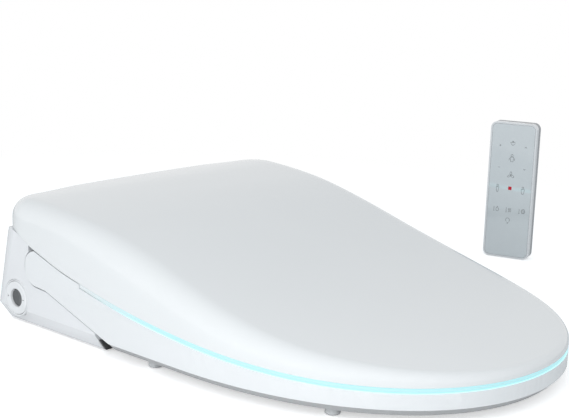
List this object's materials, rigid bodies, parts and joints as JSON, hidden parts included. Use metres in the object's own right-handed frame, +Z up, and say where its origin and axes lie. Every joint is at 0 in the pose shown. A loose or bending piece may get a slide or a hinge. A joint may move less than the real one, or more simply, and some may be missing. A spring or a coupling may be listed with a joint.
{
  "type": "smart toilet seat",
  "caption": "Electronic bidet seat with heated ring, lit rim, domed lid, side control knob, rear water inlet and a stand-alone upright remote control.",
  "frame": {"origin": "midway between the two mounting bolts, on the plane of the bowl's rim, at the underside of the mounting plate", "axes": "+Z up along the bolts, -Y towards the nose of the seat, +X to the right of someone who faces the nose"},
  "size_m": [0.6485, 0.537, 0.176],
  "materials": {
    "lid_white": "gloss",
    "liner_white": "satin",
    "seat_white": "gloss",
    "pan_white": "satin",
    "base_white": "gloss",
    "panel_grey": "satin",
    "tray_grey": "matte",
    "light": "diffuse",
    "board_green": "satin",
    "film_amber": "satin",
    "soft_rubber": "matte",
    "steel": "brushed",
    "damper_black": "satin",
    "plate_white": "satin",
    "nozzle_steel": "polished",
    "nozzle_white": "gloss",
    "works_grey": "satin",
    "works_black": "satin",
    "motor_metal": "satin",
    "brass": "satin",
    "valve_white": "satin",
    "hose_clear": "satin",
    "bezel_white": "gloss",
    "dial_black": "gloss",
    "remote_white": "gloss",
    "remote_glass": "gloss",
    "remote_grey": "satin",
    "ir_black": "gloss",
    "cell_metal": "satin",
    "key_board": "satin"
  },
  "bodies": {
    "unit": {"base_top_cover": "base_white", "left_cheek": "base_white", "right_cheek": "base_white", "base_front_panel": "panel_grey", "base_bottom_tray": "tray_grey", "base_feet": "soft_rubber", "cover_screws": "steel", "mounting_plate": "plate_white", "seat_hinge_pins": "steel", "nozzle_cradle": "works_grey", "nozzle_motor": "motor_metal", "nozzle_feed_tube": "nozzle_steel", "dryer_duct": "works_grey", "dryer_heater": "steel", "blower_housing": "works_grey", "blower_motor": "motor_metal", "deodorizer_duct": "works_grey", "deodorizer_housing": "works_grey", "deodorizer_motor": "motor_metal", "filter_sleeve": "works_grey", "inlet_fitting": "brass", "inlet_valve": "valve_white", "water_heater_tank": "valve_white", "water_pump": "works_black", "flow_distributor": "works_grey", "water_hoses": "hose_clear", "main_board": "board_green", "board_components": "damper_black", "cord_gland": "works_black", "knob_bezel": "bezel_white", "knob_encoder": "damper_black"},
    "seat": {"seat_top_shell": "seat_white", "seat_bottom_pan": "pan_white", "seat_heater_film": "film_amber", "light_guide": "light", "led_board": "board_green", "seat_bumpers": "soft_rubber"},
    "lid_shaft": {"lid_hinge_spindles": "steel"},
    "lid": {"lid_shell": "lid_white", "lid_liner": "liner_white", "lid_dampers": "damper_black", "lid_bumpers": "soft_rubber"},
    "nozzle": {"nozzle_tip": "nozzle_white", "nozzle_wand": "nozzle_steel"},
    "pinion": {"nozzle_pinion": "works_black"},
    "flap": {"dryer_flap": "panel_grey"},
    "blower": {"blower_wheel": "works_black"},
    "fan": {"deodorizer_wheel": "works_black"},
    "filter": {"filter_cartridge": "base_white"},
    "release": {"release_button": "base_white", "release_latch": "works_grey"},
    "ring": {"knob_ring": "base_white"},
    "dial": {"knob_button": "dial_black"},
    "remote": {"remote_front_frame": "remote_white", "remote_glass": "remote_glass", "remote_ir_window": "ir_black", "remote_back_shell": "remote_grey", "remote_batteries": "cell_metal", "remote_board": "key_board"},
    "remote_cover": {"remote_battery_cover": "remote_grey"}
  },
  "joints": [
    {"name": "seat_hinge", "type": "hinge", "parent": "unit", "child": "seat", "pos_m": [0, -0.009, 0.066], "axis": [1, 0, 0], "range_deg": [-95, 0]},
    {"name": "lid_follow", "type": "hinge", "parent": "unit", "child": "lid_shaft", "pos_m": [0, 0.051, 0.103], "axis": [-1, 0, 0], "range_deg": [0, 95]},
    {"name": "lid_open", "type": "hinge", "parent": "lid_shaft", "child": "lid", "pos_m": [0, 0.051, 0.103], "axis": [-1, 0, 0], "range_deg": [0, 100]},
    {"name": "knob_turn", "type": "hinge", "parent": "unit", "child": "ring", "pos_m": [-0.185, 0.025, 0.029], "axis": [1, 0, 0], "range_deg": [-40, 40], "stiffness_Nm_per_rad": 0.08},
    {"name": "knob_press", "type": "slide", "parent": "ring", "child": "dial", "axis": [1, 0, 0], "range_m": [0, 0.0015], "stiffness_N_per_m": 800},
    {"name": "nozzle_travel", "type": "slide", "parent": "unit", "child": "nozzle", "axis": [0, -0.9781, -0.2079], "range_m": [0, 0.09]},
    {"name": "nozzle_pinion_turn", "type": "hinge", "parent": "unit", "child": "pinion", "pos_m": [0, -0.0657, 0.04991], "axis": [1, 0, 0], "range_deg": [-865, 0]},
    {"name": "dryer_flap_swing", "type": "hinge", "parent": "unit", "child": "flap", "pos_m": [-0.038, -0.08675, 0.0385], "axis": [-1, 0, 0], "range_deg": [0, 40], "stiffness_Nm_per_rad": 0.004},
    {"name": "blower_spin", "type": "hinge", "parent": "unit", "child": "blower", "pos_m": [-0.05, -0.014, 0.04], "axis": [0, 0, 1], "continuous": true},
    {"name": "deodorizer_spin", "type": "hinge", "parent": "unit", "child": "fan", "pos_m": [0.128, -0.061, 0.02], "axis": [0, 0, 1], "continuous": true},
    {"name": "filter_slide", "type": "slide", "parent": "unit", "child": "filter", "axis": [1, 0, 0], "range_m": [0, 0.06]},
    {"name": "release_press", "type": "slide", "parent": "unit", "child": "release", "axis": [-1, 0, 0], "range_m": [0, 0.004], "stiffness_N_per_m": 900},
    {"name": "remote_lift", "type": "slide", "parent": "unit", "child": "remote", "axis": [0, 0, 1], "range_m": [0, 0.3]},
    {"name": "remote_cover_slide", "type": "slide", "parent": "remote", "child": "remote_cover", "axis": [0, 0, 1], "range_m": [0, 0.012]}
  ],
  "couplings": [
    {"joint": "lid_follow", "follows": "seat_hinge", "ratio": -1},
    {"joint": "nozzle_pinion_turn", "follows": "nozzle_travel", "rad_per_m": -166.67}
  ]
}
